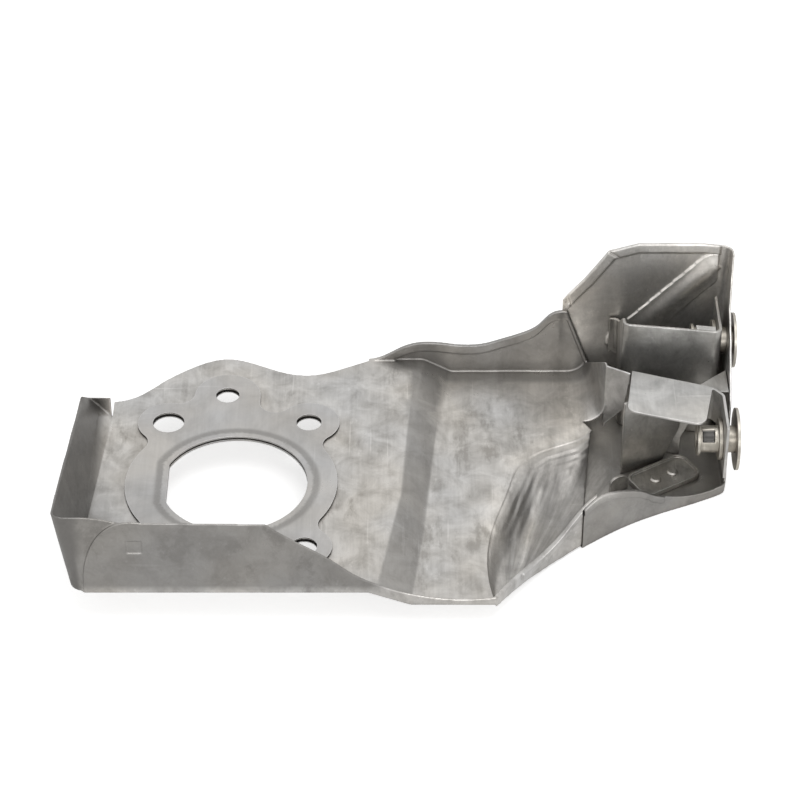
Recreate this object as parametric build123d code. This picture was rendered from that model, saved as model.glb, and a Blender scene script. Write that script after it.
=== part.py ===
from build123d import *
import math
import os

# Exhaust heat shield: a pressed steel shield with its flange gasket and a boxed end for two bolts.
# Millimetres, +Z up, +X towards the boxed end, +Y towards the back wall.
# The origin is the centre of the outlet opening, on the upper face of the floor sheet.

# Stock and working allowances
SHEET = 0.8
BRACKET = 1.2
GASKET = 0.3
LAP = 0.3
HEM = 4.0
LIP_HEM = 3.0
HEM_GAP = 0.8
BEYOND = 300.0

# Outlet opening and flange bolts
OUTLET_R = 27.5
OUTLET_FLAT_X = -25.2
OUTLET_RELIEF = 0.6
BOLT_HALF_X = 27.2
BOLT_HALF_Y = 36.2
BOLT_HOLE_R = 4.8
LOCATING_HOLE_R = 6.0
REAR_BOLT_X = -5.1
REAR_BOLT_Y = 53.1
REAR_BOLT_R = 4.5

# Gasket outline and bead
GASKET_RING = 11.5
GASKET_LEFT_SHIFT = -2.5
BACK_LOBE_R = 12.0
FRONT_LOBE_R = 10.5
REAR_LOBE_R = 13.0
NECK_R = 6.0
BEAD_WIDTH = 5.6
RIM_WIDTH = 2.4
BEAD_RISE = 0.5

# Main stamping: floor, joggle and shelf
FRONT_Y = -60.0
BACK_Y = 78.0
FLOOR_LEFT_X = -51.5
JOGGLE_X = 62.5
JOGGLE_RUN = 11.0
JOGGLE_DROP = 6.0
JOGGLE_SKEW = 6.8
JOGGLE_R = 5.0
JOGGLE_FLARE = 4.5
JOGGLE_FLARE_Y = -18.0
SHELF_FRONT_X = 97.5
FLOOR_BACK = (
    (39.5, 71.0), (27.5, 66.9), (19.5, 67.6), (9.0, 72.0), (-6.5, 77.3), (-21.0, 71.0), (-31.5, 62.0),
    (-39.5, 54.0),
)
FLOOR_BACK_RIGHT_X = 53.5
FLOOR_BACK_LEFT_Y = 50.0

# Left end flange and its wrap round the front corner
END_FOLD_FRONT_X = -57.5
END_FOLD_BACK_X = -49.5
END_TOP_FRONT_X = -62.0
END_TOP_BACK_X = -60.8
END_BACK_Y = 41.0
END_FRONT_HEIGHT = 34.0
END_BACK_HEIGHT = 11.5
END_RETURN_DROP = 3.2
END_CORNER_R = 5.0
WRAP_TIP = (-25.5, 27.0)
WRAP_EDGE = ((-54.0, 34.4), (-44.0, 33.2), (-34.0, 30.5))
WRAP_FOOT = ((-33.5, 15.0), (-39.5, 0.6), (-50.0, 0.6))

# Front flange
FLANGE_HEIGHT = 32.3
FLANGE_RISE = ((-48.9, 18.6), (-41.3, 30.0))
FLANGE_CROWN_X = -29.5
FLANGE_SHOULDER_X = 14.8
FLANGE_FALL = ((26.9, 22.4), (37.5, 15.0), (45.7, 8.0), (54.9, 2.7), (67.0, -1.8))
LIP_Z = -3.2
CLINCH = 6.0
CLINCH_X = -32.4
CLINCH_Z = 21.0
CLINCH_DEPTH = 0.5

# Back wall
WALL_CREST = (
    (50.0, 0.0), (56.5, 2.0), (63.1, 6.0), (71.9, 8.5), (84.5, 7.3), (94.5, 7.5), (106.5, 11.5),
    (117.0, 17.0), (121.5, 22.3),
)
WALL_TOP_RIGHT = (128.5, 24.0)
WALL_FOOT_RIGHT_X = 139.6
WALL_STEP = ((84.0, -6.8), (73.0, -1.2), (50.0, -0.8))

# Drawn slope, front valley and lip
BOX_DEPTH = 14.0
CREASE = ((98.1, -14.0), (103.5, 4.0), (109.3, 20.0), (117.3, 27.0), (128.5, 32.4))
CREASE_END_Y = 40.0
VALLEY = ((106.6, -45.0), (114.4, -34.5), (122.2, -26.3), (134.0, -16.0), (157.6, -0.5))
VALLEY_RUN_OUT = (8.1, 4.5)
VALLEY_FALL_LENGTH = 26.0
SLOPE_CUT_X = 136.0
SLOPE_ROWS = 25
SLOPE_COLUMNS = 13
SLOPE_SHARE = 0.55
SLOPE_STEP = 0.25
SLOPE_LAP = 0.6
SEAM_SHARE = 0.45
LIP_PEAK = (137.0, 6.0)
LIP_RISE = ((106.5, -6.0), (114.0, -6.8), (121.8, -4.0), (127.7, 1.0), (133.5, 5.0))
LIP_FALL = (
    (142.8, 4.8), (148.7, 2.2), (154.6, -1.2), (158.2, -4.4), (164.5, -8.0), (172.1, -10.6), (181.8, -11.6),
)
LIP_END_Z = -11.0
LIP_HEM_START_X = 108.0
LIP_HEM_END_X = 163.0
SHIELD_HEM_OUTSET = 0.4
SHELL_HEM_OUTSET = 1.25

# Turned-up end of the main stamping
END_WALL_X = 142.4
END_WALL_Y = 46.0
END_WALL_TURN = (151.2, 41.2)
END_WALL_BACK_X = 137.5
END_WALL_BACK_Z = -2.0
COVE_R = 8.0

# End shell
SHELL_LEFT_X = 126.5
SHELL_RIGHT_X = 187.5
SHELL_RIGHT_Y = 14.0
SHELL_LEAN = 4.5
SHELL_TOP = 56.0
SHELL_CORNER_R = 4.0
PANEL_RISE = ((128.0, 31.0), (134.5, 39.0), (143.5, 52.5), (155.0, 56.0))
PANEL_SHOULDER = 7.0
PANEL_DROP = 2.5
SIDE_RISE = ((30.0, 16.0), (50.0, 30.0), (62.0, 36.0))
SIDE_FOOT_RISE = 3.5
SIDE_MARGIN = 3.9
BEAD_TOP = (185.5, 46.5)
BEAD_FOOT = (156.5, 15.5)
BEAD_R = 4.0
BEAD_HEIGHT = 1.3

# Brackets
REAR_BRACKET_TOP = 35.0
REAR_BRACKET_LEFT = (149.0, 54.0)
REAR_BRACKET_RIGHT_Y = 49.0
REAR_LEG_BACK_Y = 72.0
REAR_FOOT = 3.8
REAR_FOOT_TOP = 21.0
REAR_FOOT_UNDER = (3.0, 10.0)
FRONT_BRACKET_TOP = 21.0
FRONT_BRACKET_INSET = 5.1
FRONT_BRACKET_RIGHT_Y = 32.0
FRONT_LEG_Y = 7.0
FRONT_LEG_BOTTOM = -3.0
TOP_FLANGE = 24.0
TOP_FLANGE_SKEW = 3.4
TOP_FLANGE_RIGHT = (10.1, 9.4)
TOP_FLANGE_R = 4.0
CROSS_CUT = ((171.5, -6.0), (176.0, 6.0))
REAR_BEND_R = 2.4
FRONT_BEND_R = 3.0
LEG_GAP = 0.3

# Support plate under the front bracket
SUPPORT_LEFT = (147.8, 24.0)
SUPPORT_RIGHT = (170.3, 34.9)
SUPPORT_CUT = ((164.0, -15.8), (171.0, 0.0))

# Sleeves and washers
SLEEVE_BORE_R = 3.3
SLEEVE_R = 5.2
SLEEVE_CLEARANCE = 0.1
SLEEVE_FLANGE_R = 8.0
SLEEVE_FLANGE = 1.5
SLEEVE_END_R = 6.4
SLEEVE_END = 1.2
SLEEVE_REACH = 9.6
SLEEVE_PROUD = 0.6
WASHER = 1.2
FRONT_WASHER_R = 12.0
REAR_WASHER_R = 10.8
FRONT_WASHER_GAP = 1.2
REAR_WASHER_GAP = 1.8
FRONT_SLEEVE_Y = 19.0
FRONT_SLEEVE_Z = 6.5
REAR_SLEEVE_Y = 61.0
REAR_SLEEVE_Z = 22.0

# Small plates
DOUBLER_PLACE = (164.5, 21.0)
DOUBLER_TURN = 32.0
DOUBLER_LENGTH = 27.0
DOUBLER_WIDTH = 15.0
DOUBLER_CORNER_R = 4.0
DOUBLER_RIM = 1.0
DOUBLER_RIM_HEIGHT = 1.0
DOUBLER_PITCH = 8.0
RIVET_R = 2.2
RIVET_HEAD = 1.0
RIVET_ROUND = 0.6
TAB_PLACE = (146.2, 14.4)
TAB_TURN = 28.0
TAB_WIDTH = 8.0
TAB_HEIGHT = 7.0
TAB_R = 3.0
GUSSET_REACH = 14.5
GUSSET_WIDTH = 13.0
GUSSET_DROP = 2.4
LOCATING_TAB_X = 176.5
LOCATING_TAB_LENGTH = 7.5
LOCATING_TAB_WIDTH = 2.6

# Worked-out values
JOGGLE_TAN = math.tan(math.radians(JOGGLE_SKEW))
SHELF_Z = -JOGGLE_DROP
BOX_Z = -BOX_DEPTH
BOX_FLOOR_Z = BOX_Z - SHEET
SHELL_FOOT_Z = BOX_FLOOR_Z - SHEET
SHELL_FORM_TOP = SHELL_TOP + 2 * SHEET
LEG_X = SHELL_RIGHT_X - SHEET - LEG_GAP - BRACKET / 2
FRONT_BRACKET_RIGHT = (SHELL_RIGHT_X - FRONT_BRACKET_INSET, FRONT_BRACKET_RIGHT_Y)
FRONT_BRACKET_LEFT = (END_WALL_TURN[0] + BRACKET / 2, END_WALL_TURN[1] + SHEET + LAP)
LIP_INSET = Vector(-0.66, 0.84) * SHEET
BEHIND_FLANGE_Y = FRONT_Y + SHEET + LAP


def outline(*points):
    """A flat face inside straight lines, in plan or upright."""
    return make_face(Polyline(*points, close=True))


def standing(face, bottom, top):
    """A plan face raised from one height to another."""
    return extrude(Pos(0, 0, bottom) * face, top - bottom, dir=(0, 0, 1))


def across(points, start, end):
    """A front-view outline of (x, z) points run through from one y to another."""
    face = outline(*[(x, start, z) for x, z in points])
    return extrude(face, end - start, dir=(0, 1, 0))


def along(points, start, end):
    """A side-view outline of (y, z) points run through from one x to another."""
    face = outline(*[(start, y, z) for y, z in points])
    return extrude(face, end - start, dir=(1, 0, 0))


def slab(x_range, y_range, z_range):
    """A plain block between two values on each axis."""
    return across(
        [(x_range[0], z_range[0]), (x_range[1], z_range[0]), (x_range[1], z_range[1]), (x_range[0], z_range[1])],
        *y_range,
    )


def at_front(points):
    """Front-view points on the front plane."""
    return [(x, FRONT_Y, z) for x, z in points]


def wall(path, thickness, bottom, top):
    """An upright sheet that follows a plan path, centred on it."""
    return standing(trace(path, thickness), bottom, top)


def lying_cylinder(radius, start, end, y, z):
    """A round bar along X."""
    disc = Plane((start, y, z), x_dir=(0, 1, 0), z_dir=(1, 0, 0)) * Circle(radius)
    return extrude(disc, end - start, dir=(1, 0, 0))


def outlet_face(growth):
    """The D-shaped outlet, grown by a margin."""
    side = 4 * OUTLET_R
    keep = Pos(OUTLET_FLAT_X - growth + side / 2, 0) * Rectangle(side, side)
    return Circle(OUTLET_R + growth) & keep


def bolt_holes(growth):
    """The three holes at the back of the flange and the two at its front."""
    holes = Pos(-BOLT_HALF_X, BOLT_HALF_Y) * Circle(LOCATING_HOLE_R + growth)
    holes += Pos(REAR_BOLT_X, REAR_BOLT_Y) * Circle(REAR_BOLT_R + growth)
    for x, y in ((1, 1), (1, -1), (-1, -1)):
        holes += Pos(x * BOLT_HALF_X, y * BOLT_HALF_Y) * Circle(BOLT_HOLE_R + growth)
    return holes


def flange_face():
    """The gasket outline: a ring with a lobe round each hole and hollow necks between."""
    ring_r = OUTLET_R + GASKET_RING
    face = Circle(ring_r) + Pos(GASKET_LEFT_SHIFT, 0) * Circle(ring_r)
    for x in (-1, 1):
        face += Pos(x * BOLT_HALF_X, BOLT_HALF_Y) * Circle(BACK_LOBE_R)
        face += Pos(x * BOLT_HALF_X, -BOLT_HALF_Y) * Circle(FRONT_LOBE_R)
    face += Pos(REAR_BOLT_X, REAR_BOLT_Y) * Circle(REAR_LOBE_R)
    face += Pos(REAR_BOLT_X, REAR_BOLT_Y - REAR_LOBE_R) * Rectangle(2 * REAR_LOBE_R, 2 * REAR_LOBE_R)
    rounded = offset(offset(face, amount=NECK_R), amount=-NECK_R)
    return rounded - outlet_face(0) - bolt_holes(0)


def valley_line():
    """Plan line of the front wall, from the shelf's front edge to the right wall."""
    run_x, run_y = VALLEY_RUN_OUT
    return Spline(
        (SHELF_FRONT_X, FRONT_Y), *VALLEY, (SHELL_RIGHT_X - run_x, SHELL_RIGHT_Y - run_y),
        (SHELL_RIGHT_X, SHELL_RIGHT_Y),
    )


def seam_x():
    """Where the end shell's lip starts over the main stamping's."""
    return (valley_line() @ SEAM_SHARE).X


def crease_line():
    """Plan line where the shelf breaks into the drawn slope."""
    return Spline((SHELF_FRONT_X, FRONT_Y), *CREASE, (SLOPE_CUT_X + 2 * SHEET, CREASE_END_Y))


def valley_drop(x):
    """Depth of the front valley under the step below the shelf's crease."""
    share = min(max((x - SHELF_FRONT_X) / VALLEY_FALL_LENGTH, 0.0), 1.0)
    return (BOX_DEPTH - JOGGLE_DROP - SLOPE_STEP) * (1 - (1 - share) ** 2)


def smooth(t):
    """A step from 0 to 1 with level ends."""
    t = min(max(t, 0.0), 1.0)
    return t * t * (3 - 2 * t)


def strip_line(y, flare, height):
    """Floor, joggle and shelf in section at one y, as a line at a height within the sheet."""
    shift = y * JOGGLE_TAN
    return FilletPolyline(
        (-BEYOND, y, height),
        (JOGGLE_X + shift - flare, y, height),
        (JOGGLE_X + JOGGLE_RUN + shift, y, SHELF_Z + height),
        (BEYOND, y, SHELF_Z + height),
        radius=JOGGLE_R,
    )


def strip_section(y, flare, depth):
    """Section face of the floor sheet, or of all that lies within a depth under it."""
    upper = strip_line(y, flare, 0)
    lower = strip_line(y, flare, -depth)
    ends = [Line(upper @ 0, lower @ 0), Line(upper @ 1, lower @ 1)]
    return make_face([*upper.edges(), *lower.edges(), *ends])


def rolled_strip(depth):
    """The sheet through its length: straight at the back, flared at the front."""
    front = FRONT_Y - SHEET
    length = BACK_Y + SHEET - JOGGLE_FLARE_Y
    back = extrude(strip_section(JOGGLE_FLARE_Y, 0, depth), length * math.hypot(1, JOGGLE_TAN),
                   dir=(JOGGLE_TAN, 1, 0))
    flared = loft([strip_section(JOGGLE_FLARE_Y, 0, depth), strip_section(front, JOGGLE_FLARE, depth)],
                  ruled=True)
    return back + flared


def floor_blank():
    """Plan outline of the floor and shelf."""
    crease = crease_line()
    cove_start = COVE_R + SHEET / 2
    wall_y = BACK_Y - SHEET / 2
    back_right = (FLOOR_BACK_RIGHT_X, wall_y)
    back_left = (END_FOLD_BACK_X, FLOOR_BACK_LEFT_Y)
    lines = [
        Polyline((FLOOR_LEFT_X, FRONT_Y), (SHELF_FRONT_X, FRONT_Y)),
        crease,
        Polyline(
            crease @ 1,
            (END_WALL_X - cove_start, END_WALL_Y - SHEET),
            (END_WALL_BACK_X - cove_start, wall_y),
            back_right,
        ),
        Spline(back_right, *FLOOR_BACK, back_left),
        Polyline(
            back_left,
            (END_FOLD_BACK_X, END_BACK_Y - SHEET / 2),
            (END_FOLD_FRONT_X + SHEET / 2, FRONT_Y + END_CORNER_R),
            (FLOOR_LEFT_X, FRONT_Y),
        ),
    ]
    return make_face([edge for line in lines for edge in line.edges()])


def floor_and_shelf():
    """Floor, joggle and shelf with their openings."""
    plate = rolled_strip(SHEET) & standing(floor_blank(), BOX_Z, 2 * SHEET)
    openings = outlet_face(OUTLET_RELIEF) + bolt_holes(OUTLET_RELIEF)
    return plate - standing(openings, -2 * SHEET, SHEET)


def end_form(inset, slope_inset):
    """Solid inside the left end flange; the insets shrink it by the sheet."""
    front = BEHIND_FLANGE_Y + inset
    back = END_BACK_Y - inset
    sections = []
    for share in (0.0, 1.2):
        z_front = -SHEET + (END_FRONT_HEIGHT + SHEET) * share
        z_back = -SHEET + (END_BACK_HEIGHT + SHEET) * share
        x_front = END_FOLD_FRONT_X + (END_TOP_FRONT_X - END_FOLD_FRONT_X) * share
        x_back = END_FOLD_BACK_X + (END_TOP_BACK_X - END_FOLD_BACK_X) * share
        section = outline(
            (x_front + inset, front, z_front),
            (0.0, front, z_front),
            (0.0, back, z_back),
            (x_back + slope_inset, back, z_back),
        )
        corner = section.vertices().sort_by(Axis.Y)[:2].sort_by(Axis.X)[0]
        sections.append(section.face().fillet_2d(END_CORNER_R - inset, [corner]))
    return loft(sections, ruled=True)


def left_end():
    """Left end flange with its wrap behind the front flange and its short return at the back."""
    run = END_TOP_BACK_X - END_FOLD_BACK_X
    shell = end_form(0, 0) - end_form(SHEET, SHEET * math.hypot(run, END_BACK_HEIGHT) / END_BACK_HEIGHT)
    over = along(
        [
            (BEHIND_FLANGE_Y - END_CORNER_R, END_FRONT_HEIGHT),
            (BEHIND_FLANGE_Y, END_FRONT_HEIGHT),
            (END_BACK_Y - END_RETURN_DROP, END_BACK_HEIGHT + SHEET),
            (END_BACK_Y + SHEET, END_BACK_HEIGHT - END_RETURN_DROP),
            (END_BACK_Y + SHEET, BEYOND),
            (BEHIND_FLANGE_Y - END_CORNER_R, BEYOND),
        ],
        -BEYOND,
        BEYOND,
    )
    beyond_wrap = across(
        [
            (WRAP_EDGE[0][0], BEYOND), *WRAP_EDGE, WRAP_TIP, *WRAP_FOOT,
            (WRAP_FOOT[-1][0], -BEYOND), (BEYOND, -BEYOND), (BEYOND, BEYOND),
        ],
        BEHIND_FLANGE_Y - SHEET,
        BEHIND_FLANGE_Y + 2 * SHEET,
    )
    beyond_return = slab((END_FOLD_BACK_X, BEYOND), (END_BACK_Y - 2 * SHEET, END_BACK_Y + SHEET), (-BEYOND, BEYOND))
    return shell - over - beyond_wrap - beyond_return


def clinch_square(start, end):
    """Square clinch that locks the front flange to the wrap behind it."""
    half = CLINCH / 2
    return slab((CLINCH_X - half, CLINCH_X + half), (start, end), (CLINCH_Z - half, CLINCH_Z + half))


def front_flange():
    """Front flange of the floor, joggle and shelf, with its clinch into the wrap."""
    left = (FLOOR_LEFT_X, BOX_Z)
    right = (SHELF_FRONT_X, BOX_Z)
    crown = (FLANGE_CROWN_X, FLANGE_HEIGHT)
    shoulder = (FLANGE_SHOULDER_X, FLANGE_HEIGHT - SHEET)
    end = (SHELF_FRONT_X, LIP_Z)
    edges = [
        *Polyline(*at_front([end, right, left, (FLOOR_LEFT_X, 0)])).edges(),
        *Spline(*at_front([(FLOOR_LEFT_X, 0), *FLANGE_RISE, crown])).edges(),
        Line(*at_front([crown, shoulder])),
        *Spline(*at_front([shoulder, *FLANGE_FALL, end])).edges(),
    ]
    plate = extrude(make_face(edges), SHEET, dir=(0, 1, 0))
    plate -= Pos(0, 0, -SHEET) * rolled_strip(2 * BOX_DEPTH)
    plate += clinch_square(FRONT_Y + SHEET / 2, BEHIND_FLANGE_Y + CLINCH_DEPTH)
    return plate - clinch_square(FRONT_Y - SHEET, FRONT_Y + CLINCH_DEPTH)


def back_wall():
    """Back wall from the joggle to the box, with its flattened hem."""
    foot = (WALL_FOOT_RIGHT_X, SHELF_Z - SHEET)
    crest = [(x, BACK_Y, z) for x, z in WALL_CREST]
    base = [(x, BACK_Y, z) for x, z in (WALL_TOP_RIGHT, foot, *WALL_STEP, WALL_CREST[0])]
    face = make_face([
        *Spline(*crest, (WALL_TOP_RIGHT[0], BACK_Y, WALL_TOP_RIGHT[1])).edges(),
        *Polyline(*base).edges(),
    ])
    sheet = extrude(face, SHEET, dir=(0, -1, 0))
    hem = extrude(face, 2 * SHEET, dir=(0, -1, 0))
    below = Pos(0, 0, -HEM) * extrude(face, 3 * SHEET, dir=(0, -1, 0))
    return sheet + (hem - below)


def drawn_slope():
    """The slope between the shelf's crease and the front valley, drawn in one smooth sweep."""
    crease = crease_line()
    valley = valley_line()
    start = 0.02
    rows = []
    for i in range(SLOPE_ROWS):
        u = i / (SLOPE_ROWS - 1)
        top = crease @ (start + (1 - start) * u) + Vector(-SLOPE_LAP, SLOPE_LAP)
        low = valley @ (start + (SEAM_SHARE - start) * u) + LIP_INSET
        row = []
        for j in range(SLOPE_COLUMNS):
            v = j / (SLOPE_COLUMNS - 1)
            x = top.X + (low.X - top.X) * v
            y = top.Y + (low.Y - top.Y) * v
            drop = valley_drop(low.X) * smooth(v / SLOPE_SHARE)
            row.append((x, y, SHELF_Z - SLOPE_STEP - drop))
        rows.append(row)
    skin = Face.make_surface_from_array_of_points(rows, tol=0.01)
    return extrude(skin, SHEET, dir=(0, 0, -1))


def lip_profile(growth):
    """Front-view outline of the front lip over the valley."""
    left = SHELF_FRONT_X - 3 * SHEET
    right = SHELL_RIGHT_X + SHELL_LEAN
    bases = [x for x, y in VALLEY[:4]]
    base = [(x, SHELF_Z - SLOPE_STEP - valley_drop(x) - SHEET - growth) for x in bases]
    under = [
        (right, LIP_END_Z), (right, BOX_FLOOR_Z - growth), *base[::-1], (left, SHELF_Z - SHEET - growth),
        (left, LIP_Z),
    ]
    top = Spline(*at_front([(left, LIP_Z), *LIP_RISE, LIP_PEAK, *LIP_FALL, (right, LIP_END_Z)]))
    face = make_face([*top.edges(), *Polyline(*at_front(under)).edges()])
    return extrude(face, BACK_Y - FRONT_Y, dir=(0, 1, 0))


def front_lip():
    """Front wall of the main stamping along the valley."""
    strip = Pos(*LIP_INSET) * wall(valley_line(), 2 * SHEET, BOX_FLOOR_Z, LIP_PEAK[1] + SHEET)
    keep = slab((0, SLOPE_CUT_X), (FRONT_Y - 2 * SHEET, BACK_Y), (-BEYOND, BEYOND))
    return strip & lip_profile(0) & keep


def cove_face(x, y):
    """Section of the cove that turns the shelf up into the end wall."""
    half = SHEET / 2
    diagonal = math.sin(math.radians(45))
    centre = (x - half - COVE_R, SHELF_Z + COVE_R)
    inner = (centre[0] + COVE_R * diagonal, centre[1] - COVE_R * diagonal)
    outer = (centre[0] + (COVE_R + SHEET) * diagonal, centre[1] - (COVE_R + SHEET) * diagonal)
    foot = centre[0] - 2 * SHEET

    def at(point_x, point_z):
        return (point_x, y, point_z)

    return make_face([
        Line(at(foot, SHELF_Z), at(centre[0], SHELF_Z)),
        ThreePointArc(at(centre[0], SHELF_Z), at(*inner), at(x - half, centre[1])),
        Line(at(x - half, centre[1]), at(x + half, centre[1])),
        ThreePointArc(at(x + half, centre[1]), at(*outer), at(centre[0], SHELF_Z - SHEET)),
        Line(at(centre[0], SHELF_Z - SHEET), at(foot, SHELF_Z - SHEET)),
        Line(at(foot, SHELF_Z - SHEET), at(foot, SHELF_Z)),
    ])


def turned_end():
    """Turned-up end of the main stamping: a cove, a wall and its turn round the corner."""
    path = Polyline((END_WALL_BACK_X, BACK_Y - SHEET), (END_WALL_X, END_WALL_Y), END_WALL_TURN)
    turn_x = END_WALL_TURN[0]
    upright = wall(path, SHEET, SHELF_Z - 4 * SHEET, FRONT_BRACKET_TOP)
    slanted = along(
        [(END_WALL_Y + 2, FRONT_BRACKET_TOP), (BACK_Y, END_WALL_BACK_Z), (BACK_Y, BEYOND),
         (END_WALL_Y + 2, BEYOND)],
        0, BEYOND,
    )
    under = slab((0, END_WALL_X - SHEET / 2), (END_WALL_Y + SHEET / 2, BACK_Y), (-BEYOND, SHELF_Z + COVE_R))
    corner = across(
        [(END_WALL_X, -BEYOND), (END_WALL_X, SHELF_Z - 2), (turn_x - 1.7, 2.8),
         (turn_x + SHEET / 2, FRONT_BRACKET_TOP - 1), (BEYOND, FRONT_BRACKET_TOP), (BEYOND, -BEYOND)],
        END_WALL_Y - COVE_R, END_WALL_Y,
    )
    start = END_WALL_Y - SHEET
    lean = (END_WALL_BACK_X - END_WALL_X) / (BACK_Y - END_WALL_Y)
    length = (BACK_Y - SHEET / 2 - start) * math.hypot(1, lean)
    cove = extrude(cove_face(END_WALL_X, start), length, dir=(lean, 1, 0))
    return (upright - under - corner) + cove - slanted


def shield_panel():
    """Main stamping."""
    body = floor_and_shelf()
    hem = lip_hem(LIP_HEM_START_X, seam_x() - SHEET / 2, SHIELD_HEM_OUTSET)
    for part in (left_end(), front_flange(), back_wall(), drawn_slope(), front_lip(), hem, turned_end()):
        body += part
    return body


def shell_form(inset):
    """Solid inside the end shell; its right side leans outward as it rises."""
    valley = valley_line()
    front = [valley @ t for t in (SEAM_SHARE, 0.55, 0.65, 0.75, 0.85, 0.93)]
    back = BACK_Y + SHEET - inset
    sections = []
    for z, lean in ((SHELL_FOOT_Z + inset, 0.0), (SHELL_FORM_TOP + inset, SHELL_LEAN)):
        right = SHELL_RIGHT_X + lean - inset
        shift = inset - SHEET
        line = Spline(*[(p.X, p.Y + shift, z) for p in front], (right, SHELL_RIGHT_Y + shift, z))
        left = line @ 0
        edges = [
            *line.edges(),
            *Polyline(line @ 1, (right, back, z), (SHELL_LEFT_X, back, z),
                      (SHELL_LEFT_X, left.Y + COVE_R, z), left).edges(),
        ]
        face = make_face(edges).face()
        rim = face.vertices().sort_by(Axis.X)[-2:]
        sections.append(face.fillet_2d(SHELL_CORNER_R - inset, rim))
    return loft(sections, ruled=True)


def panel_rim():
    """Skyline of the tall back panel, from beyond its left edge to beyond its right."""
    far = SHELL_RIGHT_X + SHELL_LEAN + 2 * SHELL_CORNER_R
    return [
        (SHELL_LEFT_X - SHELL_CORNER_R, PANEL_RISE[0][1] - 2 * SHELL_CORNER_R), *PANEL_RISE,
        (SHELL_RIGHT_X - PANEL_SHOULDER, SHELL_TOP), (far, SHELL_TOP - PANEL_DROP),
    ]


def shell_skyline():
    """Everything above the end shell's rim: tall at the back, falling along the right wall."""
    rim = panel_rim()
    wall_start = BACK_Y - SHELL_CORNER_R - 2 * SHEET
    inner_x = SHELL_RIGHT_X - SIDE_MARGIN
    back = across([*rim, (rim[-1][0], BEYOND), (rim[0][0], BEYOND)], wall_start, BACK_Y + 2 * SHEET)
    foot_y = SHELL_RIGHT_Y - 2 * SHELL_CORNER_R
    side = along(
        [
            (foot_y, BOX_FLOOR_Z + SIDE_FOOT_RISE), (SHELL_RIGHT_Y + SHEET, BOX_FLOOR_Z + SIDE_FOOT_RISE),
            *SIDE_RISE, (wall_start, SHELL_TOP - PANEL_DROP), (wall_start, BEYOND), (foot_y, BEYOND),
        ],
        inner_x,
        BEYOND,
    )
    open_top = slab((0, inner_x + SHEET / 8), (FRONT_Y, wall_start), (LIP_PEAK[1] + COVE_R, BEYOND))
    return back + side + open_top


def panel_hem():
    """Flattened hem inside the tall panel's top edge, open at its two corners."""
    rim = panel_rim()
    left = (-BEYOND, rim[0][1])
    region = outline(*[(x, 0, z) for x, z in (left, *rim, (rim[-1][0], -BEYOND), (-BEYOND, -BEYOND))])
    inner = Plane.XZ.offset(0) * offset(Plane.XZ.to_local_coords(region), amount=-HEM)
    band = Pos(0, BACK_Y - SHEET, 0) * (
        extrude(region, SHEET, dir=(0, 1, 0)) - Pos(0, -SHEET, 0) * extrude(inner, 3 * SHEET, dir=(0, 1, 0))
    )
    band &= slab((WALL_TOP_RIGHT[0] + LAP, SHELL_RIGHT_X - SHEET), (0, BEYOND), (PANEL_RISE[0][1] - 2 * HEM, BEYOND))
    for x, z, turn in ((*PANEL_RISE[0], 70.0), (*PANEL_RISE[2], 35.0)):
        band -= Pos(x, BACK_Y, z) * Rot(0, turn, 0) * Box(3 * HEM, 4 * SHEET, HEM_GAP)
    return band


def panel_bead(radius):
    """Bar for the diagonal stiffening bead of the tall panel."""
    y = BACK_Y + BEAD_R - BEAD_HEIGHT
    start = Vector(BEAD_FOOT[0], y, BEAD_FOOT[1])
    run = Vector(BEAD_TOP[0], y, BEAD_TOP[1]) - start
    return extrude(Plane(start, z_dir=run) * Circle(radius), run.length)


def lip_hem(start, end, outset):
    """Hem on the outside of the front lip between two x values."""
    strip = Pos(*(LIP_INSET * -outset)) * wall(valley_line(), SHEET, BOX_FLOOR_Z, LIP_PEAK[1] + SHEET)
    band = lip_profile(0) - Pos(0, -SHEET, -LIP_HEM) * lip_profile(2 * BOX_DEPTH)
    return strip & band & slab((start, end), (FRONT_Y - 4 * SHEET, BACK_Y), (-BEYOND, BEYOND))


def end_shell():
    """Box floor, front lip, right wall and tall back panel in one sheet."""
    body = shell_form(0) - shell_form(SHEET)
    left = slab((0, SHELL_LEFT_X + SHEET), (FRONT_Y, BACK_Y - SHEET / 80), (-BEYOND, BEYOND))
    open_side = slab((0, seam_x()), (FRONT_Y, BACK_Y - HEM), (BOX_FLOOR_Z, BEYOND))
    body = body - shell_skyline() - left - open_side
    front_zone = slab((0, SHELL_RIGHT_X - SIDE_MARGIN), (FRONT_Y, SHELL_RIGHT_Y + 10), (-BEYOND, BEYOND))
    lip = (body & front_zone) & lip_profile(SHEET)
    body = (body - front_zone) + lip
    for y, z in ((FRONT_SLEEVE_Y, FRONT_SLEEVE_Z), (REAR_SLEEVE_Y, REAR_SLEEVE_Z)):
        body -= lying_cylinder(SLEEVE_R + SLEEVE_CLEARANCE, LEG_X - BRACKET, LEG_X + 2 * SLEEVE_R, y, z)
    bead = panel_bead(BEAD_R) & slab((0, BEYOND), (0, BACK_Y + SHEET / 2), (-BEYOND, BEYOND))
    hems = panel_hem() + lip_hem(seam_x() + SHEET / 2, LIP_HEM_END_X, SHELL_HEM_OUTSET)
    return body + hems + bead - panel_bead(BEAD_R - SHEET)


def bead_step(width, bottom, top):
    """Solid funnel of the gasket's half bead, narrow at the bottom and wider at the top."""
    narrow = Pos(0, 0, bottom) * outlet_face(width)
    wide = Pos(0, 0, top) * outlet_face(BEAD_WIDTH)
    return loft([narrow.face(), wide.face()], ruled=True)


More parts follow.
